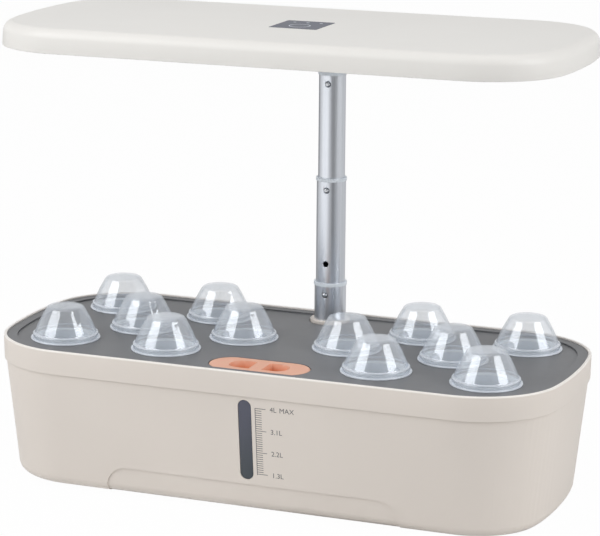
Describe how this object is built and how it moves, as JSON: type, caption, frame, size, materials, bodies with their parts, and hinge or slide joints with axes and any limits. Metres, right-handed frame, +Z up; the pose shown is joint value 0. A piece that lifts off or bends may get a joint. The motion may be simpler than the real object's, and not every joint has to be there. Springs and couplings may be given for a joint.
{
  "type": "seed sprouter",
  "caption": "Hydroponic seed sprouter: water tank with level window, lift-off deck with domed sprouting pods, and a grow lamp on a telescopic pole.",
  "frame": {"origin": "on the table, under the middle of the tank", "axes": "+Z up, +X along the tank to the right seen from the level window, +Y back towards the pole"},
  "size_m": [0.404, 0.1841, 0.3183],
  "materials": {
    "cream_plastic": "satin moulded plastic",
    "lamp_plastic": "satin moulded plastic",
    "deck_plastic": "fine matt texture",
    "cap_plastic": "satin moulded plastic",
    "clear_plastic": "clear, glossy",
    "basket_plastic": "frosted",
    "bush_plastic": "frosted",
    "tube_metal": "satin drawn tube",
    "spring_steel": "bright",
    "window_plastic": "smoked, glossy",
    "soft_rubber": "matt",
    "touch_plastic": "dark satin film",
    "diffuser_plastic": "opal",
    "board_metal": "white solder mask on aluminium",
    "led_resin": "clear over yellow phosphor",
    "board_resin": "green solder mask",
    "pump_plastic": "fine matt texture",
    "rotor_plastic": "plain",
    "shaft_ceramic": "polished",
    "lead_jacket": "satin",
    "jack_plastic": "plain",
    "screw_steel": "zinc plated"
  },
  "bodies": {
    "base": {"tank_body": "cream_plastic", "level_window": "window_plastic", "window_gasket": "soft_rubber", "feet": "soft_rubber", "service_cover": "cream_plastic", "cover_screws": "screw_steel", "dc_jack": "jack_plastic", "pump_body": "pump_plastic", "pump_inlet": "pump_plastic", "pump_shaft": "shaft_ceramic", "pump_cups": "soft_rubber", "pump_lead": "lead_jacket", "pole_collar": "cream_plastic", "lower_tube": "tube_metal", "bush_lower": "bush_plastic"},
    "impeller": {"pump_impeller": "rotor_plastic"},
    "deck": {"deck": "deck_plastic", "rim_collar": "cream_plastic"},
    "cap": {"fill_cap": "cap_plastic", "cap_seal": "soft_rubber"},
    "basket_1": {"basket_1": "basket_plastic"},
    "basket_2": {"basket_2": "basket_plastic"},
    "basket_3": {"basket_3": "basket_plastic"},
    "basket_4": {"basket_4": "basket_plastic"},
    "basket_5": {"basket_5": "basket_plastic"},
    "basket_6": {"basket_6": "basket_plastic"},
    "basket_7": {"basket_7": "basket_plastic"},
    "basket_8": {"basket_8": "basket_plastic"},
    "basket_9": {"basket_9": "basket_plastic"},
    "basket_10": {"basket_10": "basket_plastic"},
    "basket_11": {"basket_11": "basket_plastic"},
    "basket_12": {"basket_12": "basket_plastic"},
    "dome_1": {"dome_1": "clear_plastic"},
    "dome_2": {"dome_2": "clear_plastic"},
    "dome_3": {"dome_3": "clear_plastic"},
    "dome_4": {"dome_4": "clear_plastic"},
    "dome_5": {"dome_5": "clear_plastic"},
    "dome_6": {"dome_6": "clear_plastic"},
    "dome_7": {"dome_7": "clear_plastic"},
    "dome_8": {"dome_8": "clear_plastic"},
    "dome_9": {"dome_9": "clear_plastic"},
    "dome_10": {"dome_10": "clear_plastic"},
    "dome_11": {"dome_11": "clear_plastic"},
    "dome_12": {"dome_12": "clear_plastic"},
    "mid_pole": {"mid_tube": "tube_metal", "bush_mid": "bush_plastic"},
    "upper_pole": {"upper_tube": "tube_metal", "bush_upper": "bush_plastic"},
    "lamp": {"lamp_neck": "tube_metal", "lamp_housing": "lamp_plastic", "lamp_base": "lamp_plastic", "lamp_diffuser": "diffuser_plastic", "led_board": "board_metal", "leds": "led_resin", "touch_panel": "touch_plastic", "control_board": "board_resin", "lamp_screws": "screw_steel"},
    "button_lower": {"clip_lower": "spring_steel"},
    "button_mid": {"clip_mid": "spring_steel"},
    "button_upper": {"clip_upper": "spring_steel"}
  },
  "joints": [
    {"name": "deck_lift", "type": "slide", "parent": "base", "child": "deck", "axis": [0, 0, 1], "range_m": [0, 0.06]},
    {"name": "cap_lift", "type": "slide", "parent": "deck", "child": "cap", "axis": [0, 0, 1], "range_m": [0, 0.02]},
    {"name": "basket_lift_1", "type": "slide", "parent": "deck", "child": "basket_1", "axis": [0, 0, 1], "range_m": [0, 0.05]},
    {"name": "basket_lift_2", "type": "slide", "parent": "deck", "child": "basket_2", "axis": [0, 0, 1], "range_m": [0, 0.05]},
    {"name": "basket_lift_3", "type": "slide", "parent": "deck", "child": "basket_3", "axis": [0, 0, 1], "range_m": [0, 0.05]},
    {"name": "basket_lift_4", "type": "slide", "parent": "deck", "child": "basket_4", "axis": [0, 0, 1], "range_m": [0, 0.05]},
    {"name": "basket_lift_5", "type": "slide", "parent": "deck", "child": "basket_5", "axis": [0, 0, 1], "range_m": [0, 0.05]},
    {"name": "basket_lift_6", "type": "slide", "parent": "deck", "child": "basket_6", "axis": [0, 0, 1], "range_m": [0, 0.05]},
    {"name": "basket_lift_7", "type": "slide", "parent": "deck", "child": "basket_7", "axis": [0, 0, 1], "range_m": [0, 0.05]},
    {"name": "basket_lift_8", "type": "slide", "parent": "deck", "child": "basket_8", "axis": [0, 0, 1], "range_m": [0, 0.05]},
    {"name": "basket_lift_9", "type": "slide", "parent": "deck", "child": "basket_9", "axis": [0, 0, 1], "range_m": [0, 0.05]},
    {"name": "basket_lift_10", "type": "slide", "parent": "deck", "child": "basket_10", "axis": [0, 0, 1], "range_m": [0, 0.05]},
    {"name": "basket_lift_11", "type": "slide", "parent": "deck", "child": "basket_11", "axis": [0, 0, 1], "range_m": [0, 0.05]},
    {"name": "basket_lift_12", "type": "slide", "parent": "deck", "child": "basket_12", "axis": [0, 0, 1], "range_m": [0, 0.05]},
    {"name": "dome_lift_1", "type": "slide", "parent": "basket_1", "child": "dome_1", "axis": [0, 0, 1], "range_m": [0, 0.026]},
    {"name": "dome_lift_2", "type": "slide", "parent": "basket_2", "child": "dome_2", "axis": [0, 0, 1], "range_m": [0, 0.026]},
    {"name": "dome_lift_3", "type": "slide", "parent": "basket_3", "child": "dome_3", "axis": [0, 0, 1], "range_m": [0, 0.026]},
    {"name": "dome_lift_4", "type": "slide", "parent": "basket_4", "child": "dome_4", "axis": [0, 0, 1], "range_m": [0, 0.026]},
    {"name": "dome_lift_5", "type": "slide", "parent": "basket_5", "child": "dome_5", "axis": [0, 0, 1], "range_m": [0, 0.026]},
    {"name": "dome_lift_6", "type": "slide", "parent": "basket_6", "child": "dome_6", "axis": [0, 0, 1], "range_m": [0, 0.026]},
    {"name": "dome_lift_7", "type": "slide", "parent": "basket_7", "child": "dome_7", "axis": [0, 0, 1], "range_m": [0, 0.026]},
    {"name": "dome_lift_8", "type": "slide", "parent": "basket_8", "child": "dome_8", "axis": [0, 0, 1], "range_m": [0, 0.026]},
    {"name": "dome_lift_9", "type": "slide", "parent": "basket_9", "child": "dome_9", "axis": [0, 0, 1], "range_m": [0, 0.026]},
    {"name": "dome_lift_10", "type": "slide", "parent": "basket_10", "child": "dome_10", "axis": [0, 0, 1], "range_m": [0, 0.026]},
    {"name": "dome_lift_11", "type": "slide", "parent": "basket_11", "child": "dome_11", "axis": [0, 0, 1], "range_m": [0, 0.026]},
    {"name": "dome_lift_12", "type": "slide", "parent": "basket_12", "child": "dome_12", "axis": [0, 0, 1], "range_m": [0, 0.026]},
    {"name": "mid_slide", "type": "slide", "parent": "base", "child": "mid_pole", "axis": [0, 0, 1], "range_m": [-0.053, 0]},
    {"name": "upper_slide", "type": "slide", "parent": "mid_pole", "child": "upper_pole", "axis": [0, 0, 1], "range_m": [-0.053, 0]},
    {"name": "lamp_lift", "type": "slide", "parent": "upper_pole", "child": "lamp", "axis": [0, 0, 1], "range_m": [0, 0.032]},
    {"name": "button_press_lower", "type": "slide", "parent": "mid_pole", "child": "button_lower", "axis": [0, -1, 0], "range_m": [-0.0022, 0], "stiffness_N_per_m": 900, "deforming": ["clip_lower"]},
    {"name": "button_press_mid", "type": "slide", "parent": "upper_pole", "child": "button_mid", "axis": [0, -1, 0], "range_m": [-0.0022, 0], "stiffness_N_per_m": 900, "deforming": ["clip_mid"]},
    {"name": "button_press_upper", "type": "slide", "parent": "lamp", "child": "button_upper", "axis": [0, -1, 0], "range_m": [-0.0022, 0], "stiffness_N_per_m": 900, "deforming": ["clip_upper"]},
    {"name": "impeller_spin", "type": "hinge", "parent": "base", "child": "impeller", "pos_m": [-0.062, 0.04, 0.0209], "axis": [0, 1, 0], "continuous": true}
  ]
}
